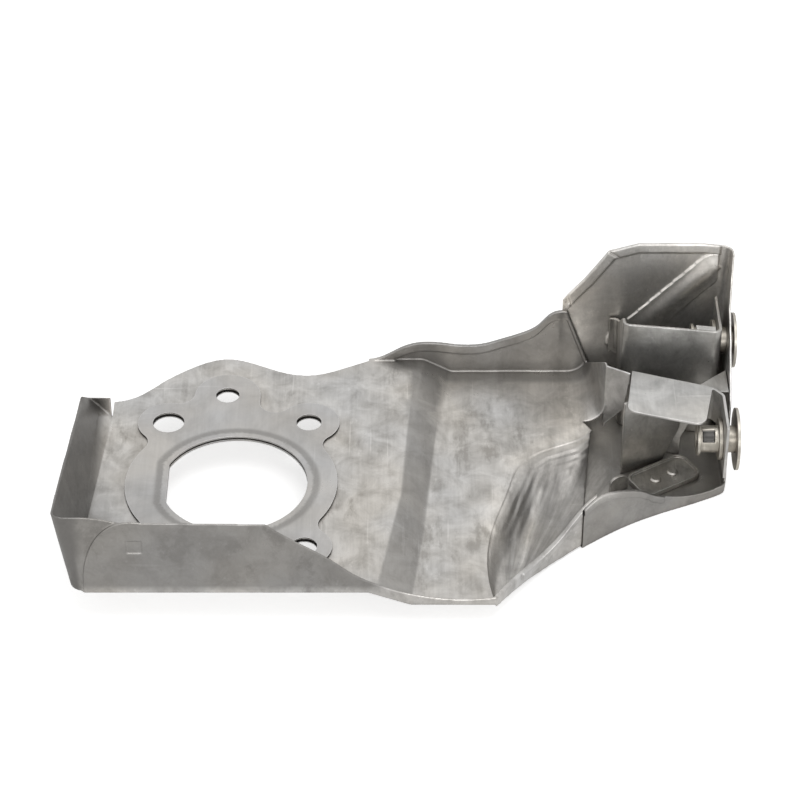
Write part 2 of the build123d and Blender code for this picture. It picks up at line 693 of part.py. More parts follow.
def gasket_layer():
    """One embossed layer on z = 0: a rim round the outlet, a half bead, and the raised flange."""
    top = BEAD_RISE + GASKET
    flange = standing(flange_face(), BEAD_RISE, top)
    disc = standing(outlet_face(BEAD_WIDTH), 0, top) - bead_step(RIM_WIDTH, GASKET, top)
    air = standing(outlet_face(BEAD_WIDTH), 0, BEAD_RISE) - bead_step(RIM_WIDTH, 0, BEAD_RISE)
    return flange + (disc - air - standing(outlet_face(0), -GASKET, 2 * top))


def gasket_lower_layer():
    """The same layer turned over, against the underside of the floor."""
    return Pos(0, 0, -SHEET) * mirror(gasket_layer(), about=Plane.XY)


def cross_y(x):
    """Y of the rear bracket's cross plate at an x."""
    left_x, left_y = REAR_BRACKET_LEFT
    return left_y + (REAR_BRACKET_RIGHT_Y - left_y) * (x - left_x) / (LEG_X - left_x)


def rear_bracket():
    """Folded strip: foot on the back panel, cross plate, and leg along the right wall."""
    left_x, left_y = REAR_BRACKET_LEFT
    foot_y = BACK_Y - SHEET - BRACKET / 2
    path = [
        (left_x - REAR_FOOT, foot_y),
        (left_x, foot_y),
        REAR_BRACKET_LEFT,
        (LEG_X, REAR_BRACKET_RIGHT_Y),
        (LEG_X, REAR_LEG_BACK_Y),
    ]
    body = wall(FilletPolyline(*path, radius=REAR_BEND_R), BRACKET, BOX_FLOOR_Z, REAR_BRACKET_TOP)
    foot_zone = (left_x - 2 * REAR_FOOT, left_x + REAR_FOOT)
    inner_y = foot_y - 2 * BRACKET
    foot_slope = along(
        [(left_y + REAR_FOOT, REAR_BRACKET_TOP), (inner_y, REAR_FOOT_TOP), (BACK_Y, REAR_FOOT_TOP),
         (BACK_Y, BEYOND), (left_y + REAR_FOOT, BEYOND)],
        *foot_zone,
    )
    low, high = REAR_FOOT_UNDER
    leg_foot = across(
        [(foot_zone[0], -BEYOND), (foot_zone[0], low - BRACKET), (foot_zone[1], high), (foot_zone[1], -BEYOND)],
        inner_y, BACK_Y,
    )
    relief = along(
        [(left_y + REAR_FOOT, -BEYOND), (left_y + REAR_FOOT, BOX_FLOOR_Z + 2), (inner_y, low), (inner_y, -BEYOND)],
        *foot_zone,
    )
    leg_y = REAR_BRACKET_RIGHT_Y + 2 * REAR_BEND_R
    leg_under = along(
        [(leg_y, -BEYOND), (leg_y, low), (REAR_LEG_BACK_Y + 1, high), (REAR_LEG_BACK_Y + 1, -BEYOND)],
        LEG_X - REAR_BEND_R, LEG_X + BRACKET,
    )
    hole = lying_cylinder(SLEEVE_R + SLEEVE_CLEARANCE, LEG_X - SLEEVE_R, LEG_X + SLEEVE_R, REAR_SLEEVE_Y,
                          REAR_SLEEVE_Z)
    return body - foot_slope - leg_foot - relief - leg_under - hole


def front_bracket():
    """Folded plate: cross wall, top flange towards the front, and leg with the lower sleeve."""
    left = FRONT_BRACKET_LEFT
    right = FRONT_BRACKET_RIGHT
    leg_top = right[1] - FRONT_BEND_R - BRACKET
    path = FilletPolyline(left, right, (LEG_X, leg_top), (LEG_X, FRONT_LEG_Y), radius=FRONT_BEND_R)
    body = wall(path, BRACKET, BOX_FLOOR_Z, FRONT_BRACKET_TOP)
    leg_under = slab((right[0] - BRACKET, BEYOND), (-BEYOND, leg_top), (-BEYOND, FRONT_LEG_BOTTOM))
    cut_low, cut_high = CROSS_CUT
    cross_cut = across(
        [(cut_low[0], -BEYOND), cut_low, cut_high, (BEYOND, cut_high[1]), (BEYOND, -BEYOND)],
        leg_top, END_WALL_Y,
    )
    top = outline(
        left, (left[0] - TOP_FLANGE_SKEW, left[1] - TOP_FLANGE),
        (SHELL_RIGHT_X - TOP_FLANGE_RIGHT[0], TOP_FLANGE_RIGHT[1]), (right[0] - BRACKET / 2, right[1] - BRACKET / 2),
    )
    corners = top.vertices().sort_by(Axis.Y)[:2]
    top = top.face().fillet_2d(TOP_FLANGE_R, corners)
    body += standing(top, FRONT_BRACKET_TOP - BRACKET, FRONT_BRACKET_TOP)
    hole = lying_cylinder(SLEEVE_R + SLEEVE_CLEARANCE, LEG_X - SLEEVE_R, LEG_X + SLEEVE_R, FRONT_SLEEVE_Y,
                          FRONT_SLEEVE_Z)
    return body - leg_under - cross_cut - hole


def support_plate():
    """Upright plate under the front bracket's top flange, with its right end cut on a slant."""
    plate = wall(Line(SUPPORT_LEFT, SUPPORT_RIGHT), BRACKET, BOX_FLOOR_Z, FRONT_BRACKET_TOP - BRACKET)
    low, high = SUPPORT_CUT
    slant = across([low, high, (BEYOND, high[1]), (BEYOND, low[1])], SUPPORT_LEFT[1] - 2 * BRACKET, END_WALL_Y)
    return plate - slant


def right_wall_outside(z):
    """Outer face of the leaning right wall at a height."""
    return SHELL_RIGHT_X + SHELL_LEAN * (z - SHELL_FOOT_Z) / (SHELL_FORM_TOP - SHELL_FOOT_Z)


def sleeve(y, z, washer_gap):
    """Turned spacer sleeve along X: flange against a bracket leg, barrel, and a collar at its free end."""
    seat = LEG_X - BRACKET / 2
    start = seat - SLEEVE_REACH
    tip = right_wall_outside(z) + washer_gap + WASHER + SLEEVE_PROUD
    body = lying_cylinder(SLEEVE_R, start, tip, y, z)
    body += lying_cylinder(SLEEVE_FLANGE_R, seat - SLEEVE_FLANGE, seat, y, z)
    body += lying_cylinder(SLEEVE_END_R, start, start + SLEEVE_END, y, z)
    return body - lying_cylinder(SLEEVE_BORE_R, start - SLEEVE_END, tip + WASHER, y, z)


def washer(y, z, radius, washer_gap):
    """Flat washer outside the right wall."""
    inner = right_wall_outside(z) + washer_gap
    disc = lying_cylinder(radius, inner, inner + WASHER, y, z)
    return disc - lying_cylinder(SLEEVE_R + SLEEVE_CLEARANCE, inner - WASHER, inner + 2 * WASHER, y, z)


def gusset():
    """Flat corner gusset between the front bracket's cross wall and the right wall."""
    top = FRONT_BRACKET_TOP - GUSSET_DROP
    side_x = right_wall_outside(top - BRACKET) - SHEET - LAP
    x, y = FRONT_BRACKET_RIGHT
    run_x, run_y = FRONT_BRACKET_LEFT
    slope = (run_y - y) / (run_x - x)
    back_y = y + BRACKET / 2 + LAP
    far_x = side_x - GUSSET_WIDTH
    face = outline((far_x, back_y + slope * (far_x - x)), (x, back_y), (side_x, back_y), (side_x, y + GUSSET_REACH))
    return standing(face, top - BRACKET, top)


def locating_tab():
    """Small flat tab behind the rear bracket's top edge."""
    start = LOCATING_TAB_X
    end = start + LOCATING_TAB_LENGTH
    gap = BRACKET / 2 + SHEET / 4
    face = outline(
        (start, cross_y(start) + gap), (end, cross_y(end) + gap), (end, cross_y(end) + gap + LOCATING_TAB_WIDTH),
        (start, cross_y(start) + gap + LOCATING_TAB_WIDTH),
    )
    return standing(face, REAR_BRACKET_TOP - BRACKET, REAR_BRACKET_TOP - SHEET / 4)


def corner_tab():
    """Small arched tab standing on the box floor beside the doubler."""
    face = Rectangle(TAB_WIDTH, TAB_HEIGHT)
    face = face.face().fillet_2d(TAB_R, face.vertices().sort_by(Axis.Y)[-2:])
    turn = math.radians(TAB_TURN)
    side = (math.cos(turn), math.sin(turn), 0)
    front = (math.sin(turn), -math.cos(turn), 0)
    frame = Plane((*TAB_PLACE, BOX_FLOOR_Z + TAB_HEIGHT / 2), x_dir=side, z_dir=front)
    return extrude(frame * face, BRACKET)


def floor_frame():
    """Plan frame on the box floor, parallel to the front lip."""
    turn = math.radians(DOUBLER_TURN)
    return Plane((*DOUBLER_PLACE, BOX_FLOOR_Z), x_dir=(math.cos(turn), math.sin(turn), 0))


def doubler_plate():
    """Rounded dished plate welded to the box floor, with its rim turned up."""
    frame = floor_frame()
    height = BRACKET + DOUBLER_RIM_HEIGHT
    outer = RectangleRounded(DOUBLER_LENGTH, DOUBLER_WIDTH, DOUBLER_CORNER_R)
    inner = RectangleRounded(DOUBLER_LENGTH - 2 * DOUBLER_RIM, DOUBLER_WIDTH - 2 * DOUBLER_RIM,
                             DOUBLER_CORNER_R - DOUBLER_RIM)
    dish = extrude(outer, height) - Pos(0, 0, BRACKET) * extrude(inner, height)
    return frame.location * dish


def doubler_rivets():
    """Two rivet heads, bevelled round the top, in the dished doubler."""
    heads = []
    for x in (-DOUBLER_PITCH / 2, DOUBLER_PITCH / 2):
        head = Pos(x, 0, BRACKET) * extrude(Circle(RIVET_R), RIVET_HEAD)
        heads.append(floor_frame().location * chamfer(head.edges().sort_by(Axis.Z)[-1:], RIVET_ROUND))
    return heads[0] + heads[1]


PARTS = {
    "shield_panel": shield_panel,
    "end_shell": end_shell,
    "gasket_upper_layer": gasket_layer,
    "gasket_lower_layer": gasket_lower_layer,
    "rear_bracket": rear_bracket,
    "front_bracket": front_bracket,
    "support_plate": support_plate,
    "gusset": gusset,
    "locating_tab": locating_tab,
    "corner_tab": corner_tab,
    "front_sleeve": lambda: sleeve(FRONT_SLEEVE_Y, FRONT_SLEEVE_Z, FRONT_WASHER_GAP),
    "rear_sleeve": lambda: sleeve(REAR_SLEEVE_Y, REAR_SLEEVE_Z, REAR_WASHER_GAP),
    "front_washer": lambda: washer(FRONT_SLEEVE_Y, FRONT_SLEEVE_Z, FRONT_WASHER_R, FRONT_WASHER_GAP),
    "rear_washer": lambda: washer(REAR_SLEEVE_Y, REAR_SLEEVE_Z, REAR_WASHER_R, REAR_WASHER_GAP),
    "doubler_plate": doubler_plate,
    "doubler_rivets": doubler_rivets,
}


def main():
    os.makedirs("parts", exist_ok=True)
    for name, build in PARTS.items():
        export_step(build(), f"parts/{name}.step")


if __name__ == "__main__":
    main()
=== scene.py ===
import math

import bmesh
import bpy
import numpy
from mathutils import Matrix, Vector


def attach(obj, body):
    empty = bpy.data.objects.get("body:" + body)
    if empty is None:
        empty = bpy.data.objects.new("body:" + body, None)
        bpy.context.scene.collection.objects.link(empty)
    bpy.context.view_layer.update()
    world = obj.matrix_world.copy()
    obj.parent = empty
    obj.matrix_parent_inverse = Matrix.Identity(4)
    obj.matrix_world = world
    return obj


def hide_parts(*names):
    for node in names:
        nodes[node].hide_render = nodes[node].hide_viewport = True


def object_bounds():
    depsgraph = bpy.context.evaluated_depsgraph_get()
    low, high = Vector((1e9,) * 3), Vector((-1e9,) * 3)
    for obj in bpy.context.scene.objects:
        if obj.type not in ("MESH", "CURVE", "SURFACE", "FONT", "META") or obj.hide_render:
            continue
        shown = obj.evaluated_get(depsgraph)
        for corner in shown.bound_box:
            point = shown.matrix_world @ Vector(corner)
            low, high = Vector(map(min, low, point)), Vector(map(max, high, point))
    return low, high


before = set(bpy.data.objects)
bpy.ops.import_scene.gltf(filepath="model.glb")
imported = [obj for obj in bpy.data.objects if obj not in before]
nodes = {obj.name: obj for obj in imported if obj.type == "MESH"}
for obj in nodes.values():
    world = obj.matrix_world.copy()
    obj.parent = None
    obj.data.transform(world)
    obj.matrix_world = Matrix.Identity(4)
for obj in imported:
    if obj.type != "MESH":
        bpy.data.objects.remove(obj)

# Exhaust heat shield: pressed steel shield, flange gasket and boxed end with bolt sleeves.
# Metres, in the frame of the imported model.

MM = 0.001
cad_low, cad_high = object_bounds()

CAMERA_TARGET = Vector((0.0625, 0.051, 0.0))
CAMERA_DISTANCE = 1.090
CAMERA_ELEVATION = 38.5
CAMERA_LENS = 125.1

# Outlines in plan, in millimetres, as the sheet was drawn.
CREASE = ((98.1, -14.0), (103.5, 4.0), (109.3, 20.0), (117.3, 27.0), (128.5, 32.4), (139.0, 42.0))
VALLEY = ((157.6, -0.5), (134.0, -16.0), (122.2, -26.3), (114.4, -34.5), (106.6, -45.0), (99.0, -50.0))
SLOPE = CREASE + VALLEY
FAN_CENTRE = (101.0, -58.0)
RIDGE_PITCH = 2.6
RIDGE_SPREAD = 5.5
JOGGLE_BAND = ((53.0, -60.0), (67.0, -60.0), (72.0, -20.0), (80.0, 74.0), (67.5, 74.0), (62.5, -5.0))

# Bead on the tall panel, in millimetres across and up
BEAD_LINE = ((150.5, 9.0), (184.5, 45.4))
BEAD_HALF_WIDTH = 6.0
BEAD_HEIGHT = 1.25
PANEL_FRONT_Y = 77.2
PANEL_BACK_Y = 78.0
BEAD_BACK_Y = 75.0
BEAD_RIGHT_X = 186.3

# Window in the front sleeve's barrel: its axis, reach along it and direction round it
SLEEVE_AXIS = (19.0, 6.5)
WINDOW_X = (177.4, 182.2)
WINDOW_WAY = (-0.62, 0.78)
WINDOW_DEPTH = 0.9

# Gasket, in millimetres: outlet radius and flat, and where its half bead starts and ends
OUTLET_R = 27.5
OUTLET_FLAT_X = -25.2
BEAD_START = 2.4
BEAD_END = 5.6

# Fan of wrinkles: how many go once round, their height in millimetres and where each starts
WRINKLES = ((19.0, 0.17, 0.4), (31.0, 0.12, 1.9), (53.0, 0.07, 0.9), (87.0, 0.04, 2.6))
WRINKLE_SWAY = 17.0
WRINKLE_REACH = 60.0
RIDGE_HEIGHT = 0.26
CREASE_DEPTH = 0.25
CREASE_WIDTH = 2.2
CREASE_TOP_Z = -2.0

# Where the shelf, the hem and the flanges start, in millimetres
SHELF_X = 60.0
HEM_Y = 66.0
HEM_X = (50.0, 126.0)
FRONT_FLANGE_Y = -55.0
FRONT_FLANGE_Z = 3.0
END_FLANGE_X = -54.0

# How uneven each stretch of the sheet is, in millimetres
RIPPLE_WAVES = 7
SHELF_WAVES = 0.10
HEM_WAVES = 0.22
FRONT_WAVES = 0.16
END_WAVES = 0.18
BACK_WAVES = 0.22
TOP_WAVES = 0.20
FLAT_WAVES = 0.03
DOUBLES_APART = 0.002 * MM

# How much painted shade darkens each stretch of the steel where less light falls on it, and how much
# painted highlight brightens it beside the crease and along a line on the slope
FRONT_PAINTED_SHADE = 0.38
END_PAINTED_SHADE = 0.60
BACK_PAINTED_SHADE = 0.40
JOGGLE_PAINTED_SHADE = 0.33
SLOPE_PAINTED_SHADE = 0.40
BOX_PAINTED_SHADE = 0.42
BEAD_PAINTED_SHADE = 0.34
WINDOW_PAINTED_SHADE = 0.85
CREASE_PAINTED_HIGHLIGHT = 0.30
SLOPE_PAINTED_HIGHLIGHT = 0.5
SLOPE_HIGHLIGHT_LINE = ((105.0, -40.0), (116.0, 8.0))

# Mill finish
SCRATCH_SHINE = 0.35
STAIN_ROUGHNESS = 0.25
ROLLED_RELIEF = 0.25
BRUSHED_RELIEF = 0.5
SPECK_RELIEF = 0.15
CLOUD_RELIEF = 1.2
COOL_TINT = (0.985, 0.99, 1.0)
WARM_TINT = (1.03, 1.0, 0.955)
STREAKS_ROUND = 9.0
STREAKS_OUT = 14.0
# Painted shade also evens the steel towards this grey, by this much
PAINTED_SHADE_EVENNESS = 1.3
PAINTED_SHADE_GREY = (0.47, 0.455, 0.435)
# Painted highlight along the edges, and painted shade in corners with its grey
HIGHLIGHT_EDGE_RADIUS = 0.45 * MM
CORNER_SHADE_REACH = 5.0 * MM
CORNER_SHADE_GREY = (0.42, 0.40, 0.38)
RELIEF_DEPTH = 0.1 * MM
RELIEF_STRENGTH = 0.12
METAL = 0.9

# Colour sockets of a Mix node, by place, because several share a name
MIX_SHARE = 0
MIX_FIRST = 6
MIX_SECOND = 7
MIX_RESULT = 2

# Studio
WHITE = (1.0, 1.0, 1.0, 1.0)
WORLD_TINT = (1.0, 0.99, 0.975, 1.0)
WORLD_STRENGTH = 0.42
FLOOR_COLOUR = (0.86, 0.86, 0.86, 1.0)
FLOOR_GLOW = 0.62
FLOOR_GLOSSY_SHARE = 0.3
FLOOR_REACH = 3.0
FLOOR_GAP = 0.2 * MM

# Lamps: name, place, aim, width, height and power in watts
LAMPS = (
    ("key", (0.25, -0.15, 1.5), (0.06, 0.0, 0.0), 1.2, 0.8, 7.0),
    ("front", (0.15, -1.3, 0.75), (0.08, 0.0, 0.0), 1.2, 0.6, 5.0),
    ("fill", (-0.9, -0.9, 0.7), (0.06, 0.0, 0.0), 0.8, 0.8, 1.0),
)


def add_camera():
    """The photograph's view: straight on to the front, from well above."""
    lens = bpy.data.cameras.new("camera")
    lens.lens = CAMERA_LENS
    lens.sensor_width = 36.0
    camera = bpy.data.objects.new("camera", lens)
    rise = math.radians(CAMERA_ELEVATION)
    back = Vector((0.0, -math.cos(rise), math.sin(rise)))
    camera.location = CAMERA_TARGET + back * CAMERA_DISTANCE
    camera.rotation_euler = (math.pi / 2 - rise, 0.0, 0.0)
    bpy.context.scene.collection.objects.link(camera)
    bpy.context.scene.camera = camera


def add_lamp(name, place, aim, width, height, power):
    """A soft rectangular lamp."""
    lamp = bpy.data.lights.new(name, "AREA")
    lamp.shape = "RECTANGLE"
    lamp.size = width
    lamp.size_y = height
    lamp.energy = power
    holder = bpy.data.objects.new(name, lamp)
    holder.location = place
    holder.rotation_euler = (Vector(aim) - Vector(place)).to_track_quat("-Z", "Y").to_euler()
    bpy.context.scene.collection.objects.link(holder)


def wire(tree, start, output, end, socket):
    """Links a node's output to another node's input."""
    tree.links.new(start.outputs[output], end.inputs[socket])


def seen_as_backdrop(tree, glossy_share=1.0):
    """One where a camera, glossy or transmitted ray looks straight at the backdrop."""
    rays = tree.nodes.new("ShaderNodeLightPath")
    first = tree.nodes.new("ShaderNodeMath")
    first.operation = "MAXIMUM"
    wire(tree, rays, "Is Camera Ray", first, 0)
    wire(tree, rays, "Is Transmission Ray", first, 1)
    dimmed = tree.nodes.new("ShaderNodeMath")
    dimmed.operation = "MULTIPLY"
    dimmed.inputs[1].default_value = glossy_share
    wire(tree, rays, "Is Glossy Ray", dimmed, 0)
    second = tree.nodes.new("ShaderNodeMath")
    second.operation = "MAXIMUM"
    wire(tree, first, 0, second, 0)
    wire(tree, dimmed, 0, second, 1)
    return second


def set_world():
    """Soft light all round, and plain white where it is looked at."""
    world = bpy.data.worlds.new("studio")
    bpy.context.scene.world = world
    world.use_nodes = True
    tree = world.node_tree
    tree.nodes.clear()
    out = tree.nodes.new("ShaderNodeOutputWorld")
    soft = tree.nodes.new("ShaderNodeBackground")
    soft.inputs["Color"].default_value = WORLD_TINT
    soft.inputs["Strength"].default_value = WORLD_STRENGTH
    white = tree.nodes.new("ShaderNodeBackground")
    white.inputs["Color"].default_value = WHITE
    white.inputs["Strength"].default_value = 1.0
    mix = tree.nodes.new("ShaderNodeMixShader")
    wire(tree, seen_as_backdrop(tree), 0, mix, 0)
    wire(tree, soft, 0, mix, 1)
    wire(tree, white, 0, mix, 2)
    wire(tree, mix, 0, out, "Surface")


def add_floor():
    """Pale floor that keeps the shadow and looks white to the camera."""
    mesh = bpy.data.meshes.new("floor")
    z = cad_low.z - FLOOR_GAP
    corners = [(-1, -1), (1, -1), (1, 1), (-1, 1)]
    mesh.from_pydata([(x * FLOOR_REACH, y * FLOOR_REACH, z) for x, y in corners], [], [(0, 1, 2, 3)])
    floor = bpy.data.objects.new("floor", mesh)
    bpy.context.scene.collection.objects.link(floor)
    paint = bpy.data.materials.new("floor")
    paint.use_nodes = True
    tree = paint.node_tree
    tree.nodes.clear()
    out = tree.nodes.new("ShaderNodeOutputMaterial")
    matt = tree.nodes.new("ShaderNodeBsdfDiffuse")
    matt.inputs["Color"].default_value = FLOOR_COLOUR
    glow = tree.nodes.new("ShaderNodeEmission")
    glow.inputs["Color"].default_value = WHITE
    glow.inputs["Strength"].default_value = FLOOR_GLOW
    lift = tree.nodes.new("ShaderNodeMixShader")
    clear = tree.nodes.new("ShaderNodeAddShader")
    wire(tree, matt, 0, clear, 0)
    wire(tree, glow, 0, clear, 1)
    wire(tree, seen_as_backdrop(tree, FLOOR_GLOSSY_SHARE), 0, lift, 0)
    wire(tree, matt, 0, lift, 1)
    wire(tree, clear, 0, lift, 2)
    wire(tree, lift, 0, out, "Surface")
    mesh.materials.append(paint)


def group(name, inputs, outputs):
    """An empty shader group with its sockets."""
    tree = bpy.data.node_groups.new(name, "ShaderNodeTree")
    for label, kind, value in inputs:
        socket = tree.interface.new_socket(label, in_out="INPUT", socket_type=kind)
        if value is not None:
            socket.default_value = value
    for label, kind in outputs:
        tree.interface.new_socket(label, in_out="OUTPUT", socket_type=kind)
    return tree, tree.nodes.new("NodeGroupInput"), tree.nodes.new("NodeGroupOutput")


def maths(tree, operation, first, second=None, clamp=False):
    """One step of arithmetic on numbers or sockets."""
    node = tree.nodes.new("ShaderNodeMath")
    node.operation = operation
    node.use_clamp = clamp
    for index, value in enumerate((first, second)):
        if value is None:
            continue
        if isinstance(value, (int, float)):
            node.inputs[index].default_value = value
        else:
            tree.links.new(value, node.inputs[index])
    return node.outputs[0]


def noise(tree, vector, scale, detail, rough, stretch=None):
    """A noise pattern, drawn out along the axes whose stretch is small."""
    if stretch:
        mapping = tree.nodes.new("ShaderNodeMapping")
        mapping.inputs["Scale"].default_value = stretch
        tree.links.new(vector, mapping.inputs["Vector"])
        vector = mapping.outputs[0]
    node = tree.nodes.new("ShaderNodeTexNoise")
    node.inputs["Scale"].default_value = scale
    node.inputs["Detail"].default_value = detail
    node.inputs["Roughness"].default_value = rough
    tree.links.new(vector, node.inputs["Vector"])
    return node.outputs["Fac"]


def ramp(tree, value, low, high, start=0.0, end=1.0):
    """Start where the value is low, end where it is high, and straight between them."""
    node = tree.nodes.new("ShaderNodeMapRange")
    node.inputs["From Min"].default_value = low
    node.inputs["From Max"].default_value = high
    node.inputs["To Min"].default_value = start
    node.inputs["To Max"].default_value = end
    tree.links.new(value, node.inputs["Value"])
    return node.outputs[0]


def blend(tree, share, first, second, mode="MIX"):
    """A blend of two colours, each a colour or a socket."""
    node = tree.nodes.new("ShaderNodeMix")
    node.data_type = "RGBA"
    node.blend_type = mode
    sockets = (MIX_SHARE, MIX_FIRST, MIX_SECOND)
    for index, value in zip(sockets, (share, first, second)):
        socket = node.inputs[index]
        if isinstance(value, (int, float)):
            socket.default_value = value
        elif isinstance(value, tuple):
            socket.default_value = (*value, 1.0)
        else:
            tree.links.new(value, socket)
    return node.outputs[MIX_RESULT]


def build_mill_finish():
    """Cloudy mill finish: stained blotches, smears along the rolling, short scuffs and fine grain."""
    tree, source, sink = group(
        "mill_finish",
        [("Dark", "NodeSocketColor", (0.3, 0.29, 0.28, 1)),
         ("Light", "NodeSocketColor", (0.6, 0.59, 0.58, 1)),
         ("Cloud Scale", "NodeSocketFloat", 45.0),
         ("Scuffs", "NodeSocketFloat", 0.4),
         ("Stains", "NodeSocketFloat", 0.4)],
        [("Color", "NodeSocketColor"), ("Roughness", "NodeSocketFloat"), ("Height", "NodeSocketFloat")],
    )
    place = tree.nodes.new("ShaderNodeTexCoord").outputs["Object"]
    cloud_node = tree.nodes.new("ShaderNodeTexNoise")
    cloud_node.inputs["Detail"].default_value = 7.0
    cloud_node.inputs["Roughness"].default_value = 0.62
    cloud_node.inputs["Distortion"].default_value = 0.5
    tree.links.new(place, cloud_node.inputs["Vector"])
    tree.links.new(source.outputs["Cloud Scale"], cloud_node.inputs["Scale"])
    cloud = cloud_node.outputs["Fac"]
    rolled = noise(tree, place, scale=1000.0, detail=3.0, rough=0.6, stretch=(1.0, 0.06, 0.6))
    brushed = noise(tree, place, scale=300.0, detail=4.0, rough=0.6, stretch=(1.0, 0.12, 0.5))
    speck = noise(tree, place, scale=1400.0, detail=2.0, rough=0.5)
    smears = noise(tree, place, scale=95.0, detail=6.0, rough=0.68, stretch=(1.0, 0.32, 0.8))
    blotches = noise(tree, place, scale=36.0, detail=5.0, rough=0.6, stretch=(1.0, 0.6, 1.0))
    scuffs = noise(tree, place, scale=210.0, detail=5.0, rough=0.75, stretch=(0.9, 0.4, 1.0))
    scratched_along = noise(tree, place, scale=620.0, detail=1.0, rough=0.5, stretch=(1.0, 0.035, 0.5))
    scratched_across = noise(tree, place, scale=540.0, detail=1.0, rough=0.5, stretch=(0.04, 1.0, 0.5))
    patches = noise(tree, place, scale=28.0, detail=2.0, rough=0.5)

    smear = ramp(tree, smears, low=0.53, high=0.66)
    blotch = ramp(tree, blotches, low=0.42, high=0.62)
    scuff = ramp(tree, scuffs, low=0.61, high=0.68)
    scratch = ramp(tree, scratched_along, low=0.70, high=0.76)
    scratch = maths(tree, "ADD", scratch, ramp(tree, scratched_across, low=0.73, high=0.78))
    stains_and_painted_shade = maths(tree, "MULTIPLY", maths(tree, "MULTIPLY", smear, blotch), source.outputs["Stains"])

    base = ramp(tree, cloud, low=0.30, high=0.66)
    base = maths(tree, "ADD", base, ramp(tree, rolled, low=0.3, high=0.7, start=-0.10, end=0.10))
    base = maths(tree, "ADD", base, ramp(tree, brushed, low=0.3, high=0.7, start=-0.12, end=0.12))
    base = maths(tree, "ADD", base, maths(tree, "MULTIPLY", scratch, SCRATCH_SHINE))
    base = maths(tree, "SUBTRACT", base, stains_and_painted_shade)
    base = maths(tree, "ADD", base, maths(tree, "MULTIPLY", scuff, source.outputs["Scuffs"]), clamp=True)
    colour = blend(tree, base, source.outputs["Dark"], source.outputs["Light"])
    tint = blend(tree, ramp(tree, patches, low=0.35, high=0.65), COOL_TINT, WARM_TINT)
    colour = blend(tree, 1.0, colour, tint, "MULTIPLY")
    tree.links.new(colour, sink.inputs["Color"])

    rough = ramp(tree, cloud, low=0.3, high=0.7, start=0.46, end=0.30)
    rough = maths(tree, "ADD", rough, ramp(tree, speck, low=0.3, high=0.7, start=-0.05, end=0.05))
    rough = maths(tree, "ADD", rough, maths(tree, "MULTIPLY", stains_and_painted_shade, STAIN_ROUGHNESS))
    tree.links.new(rough, sink.inputs["Roughness"])

    height = maths(tree, "MULTIPLY", rolled, ROLLED_RELIEF)
    height = maths(tree, "ADD", height, maths(tree, "MULTIPLY", brushed, BRUSHED_RELIEF))
    height = maths(tree, "ADD", height, maths(tree, "MULTIPLY", speck, SPECK_RELIEF))
    height = maths(tree, "ADD", height, maths(tree, "MULTIPLY", cloud, CLOUD_RELIEF))
    tree.links.new(height, sink.inputs["Height"])
    return tree


def build_sheet_tone():
    """Drawing streaks that run out of the slope's low corner, and the painted shade and painted
    highlight on zones of the sheet.
    """
    tree, source, sink = group(
        "sheet_tone",
        [("Color", "NodeSocketColor", None)],
        [("Color", "NodeSocketColor")],
    )
    place = tree.nodes.new("ShaderNodeTexCoord").outputs["Object"]
    apart = tree.nodes.new("ShaderNodeSeparateXYZ")
    tree.links.new(place, apart.inputs[0])
    across = maths(tree, "SUBTRACT", apart.outputs["X"], FAN_CENTRE[0] * MM)
    along = maths(tree, "SUBTRACT", apart.outputs["Y"], FAN_CENTRE[1] * MM)
    angle = maths(tree, "ARCTAN2", along, across)
    squares = maths(tree, "ADD", maths(tree, "POWER", across, 2.0), maths(tree, "POWER", along, 2.0))
    reach = maths(tree, "SQRT", squares)
    polar = tree.nodes.new("ShaderNodeCombineXYZ")
    tree.links.new(maths(tree, "MULTIPLY", angle, STREAKS_ROUND), polar.inputs[0])
    tree.links.new(maths(tree, "MULTIPLY", reach, STREAKS_OUT), polar.inputs[1])
    wide = noise(tree, polar.outputs[0], scale=1.6, detail=5.0, rough=0.62)
    fine = noise(tree, polar.outputs[0], scale=7.0, detail=4.0, rough=0.6)
    value = ramp(tree, wide, low=0.32, high=0.68, start=0.74, end=1.24)
    value = maths(tree, "ADD", value, ramp(tree, fine, low=0.3, high=0.7, start=-0.08, end=0.08))
    fan = tree.nodes.new("ShaderNodeAttribute")
    fan.attribute_name = "fan"
    stains_and_painted_shade = tree.nodes.new("ShaderNodeAttribute")
    stains_and_painted_shade.attribute_name = "stains_and_painted_shade"
    streaks = maths(tree, "MULTIPLY", maths(tree, "SUBTRACT", value, 1.0), fan.outputs["Fac"])
    streaks = maths(tree, "ADD", streaks, 1.0)
    # Painted shade darkens the colour and evens it towards one grey; below zero, painted highlight
    # brightens it
    dim = maths(tree, "SUBTRACT", 1.0, stains_and_painted_shade.outputs["Fac"])
    even = maths(tree, "MULTIPLY", stains_and_painted_shade.outputs["Fac"], PAINTED_SHADE_EVENNESS, clamp=True)
    sheet = blend(tree, even, source.outputs["Color"], PAINTED_SHADE_GREY)
    both = maths(tree, "MULTIPLY", streaks, dim)
    grey = tree.nodes.new("ShaderNodeCombineXYZ")
    for index in range(3):
        tree.links.new(both, grey.inputs[index])
    tree.links.new(blend(tree, 1.0, sheet, grey.outputs[0], "MULTIPLY"), sink.inputs["Color"])
    return tree


